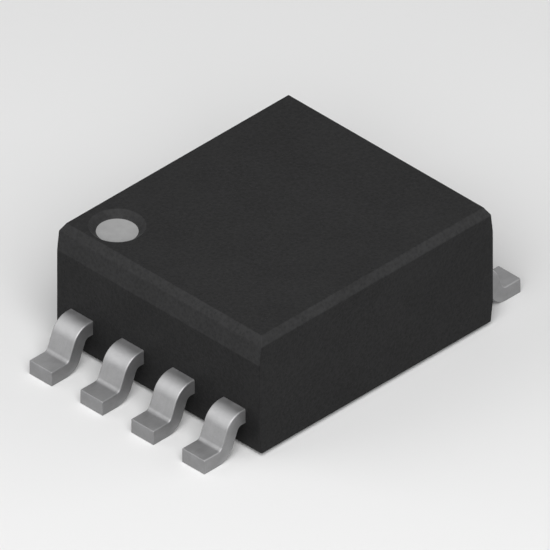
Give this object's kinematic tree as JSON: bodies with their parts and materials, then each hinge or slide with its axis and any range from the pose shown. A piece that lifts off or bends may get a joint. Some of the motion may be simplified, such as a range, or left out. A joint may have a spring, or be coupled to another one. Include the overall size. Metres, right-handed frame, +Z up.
{
  "type": "microprocessor chip",
  "caption": "Small-outline chip: a black moulded body with gull-wing leads in two rows, a pin 1 dimple, and a die wire-bonded to its lead frame inside.",
  "frame": {"origin": "on the seating plane under the feet, below the middle of the body", "axes": "+Z up, away from the board; +X across the lead rows, so pins 1 to 4 are on -X and pins 5 to 8 on +X; +Y along the rows, with pin 1 and its dimple at -X, +Y"},
  "size_m": [0.008, 0.005, 0.0026],
  "materials": {
    "mould_compound": "black epoxy moulding compound with a fine matte spark-eroded grain",
    "marking_fill": "light grey fill in the floor of the pin 1 dimple",
    "tinned_lead": "matte tin plating over stamped copper alloy strip",
    "copper_strip": "bare stamped copper alloy strip",
    "silver_epoxy": "silver-filled epoxy paste, cured",
    "silicon": "polished silicon with its patterned circuit side up",
    "bond_wire": "drawn gold wire"
  },
  "bodies": {
    "root": {"moulded_body": "mould_compound", "pin_1_mark": "marking_fill", "die_paddle": "copper_strip", "die_attach": "silver_epoxy", "silicon_die": "silicon", "lead_1": "tinned_lead", "lead_2": "tinned_lead", "lead_3": "tinned_lead", "lead_4": "tinned_lead", "lead_5": "tinned_lead", "lead_6": "tinned_lead", "lead_7": "tinned_lead", "lead_8": "tinned_lead", "bond_wire_1": "bond_wire", "bond_wire_2": "bond_wire", "bond_wire_3": "bond_wire", "bond_wire_4": "bond_wire", "bond_wire_5": "bond_wire", "bond_wire_6": "bond_wire", "bond_wire_7": "bond_wire", "bond_wire_8": "bond_wire"}
  },
  "joints": []
}
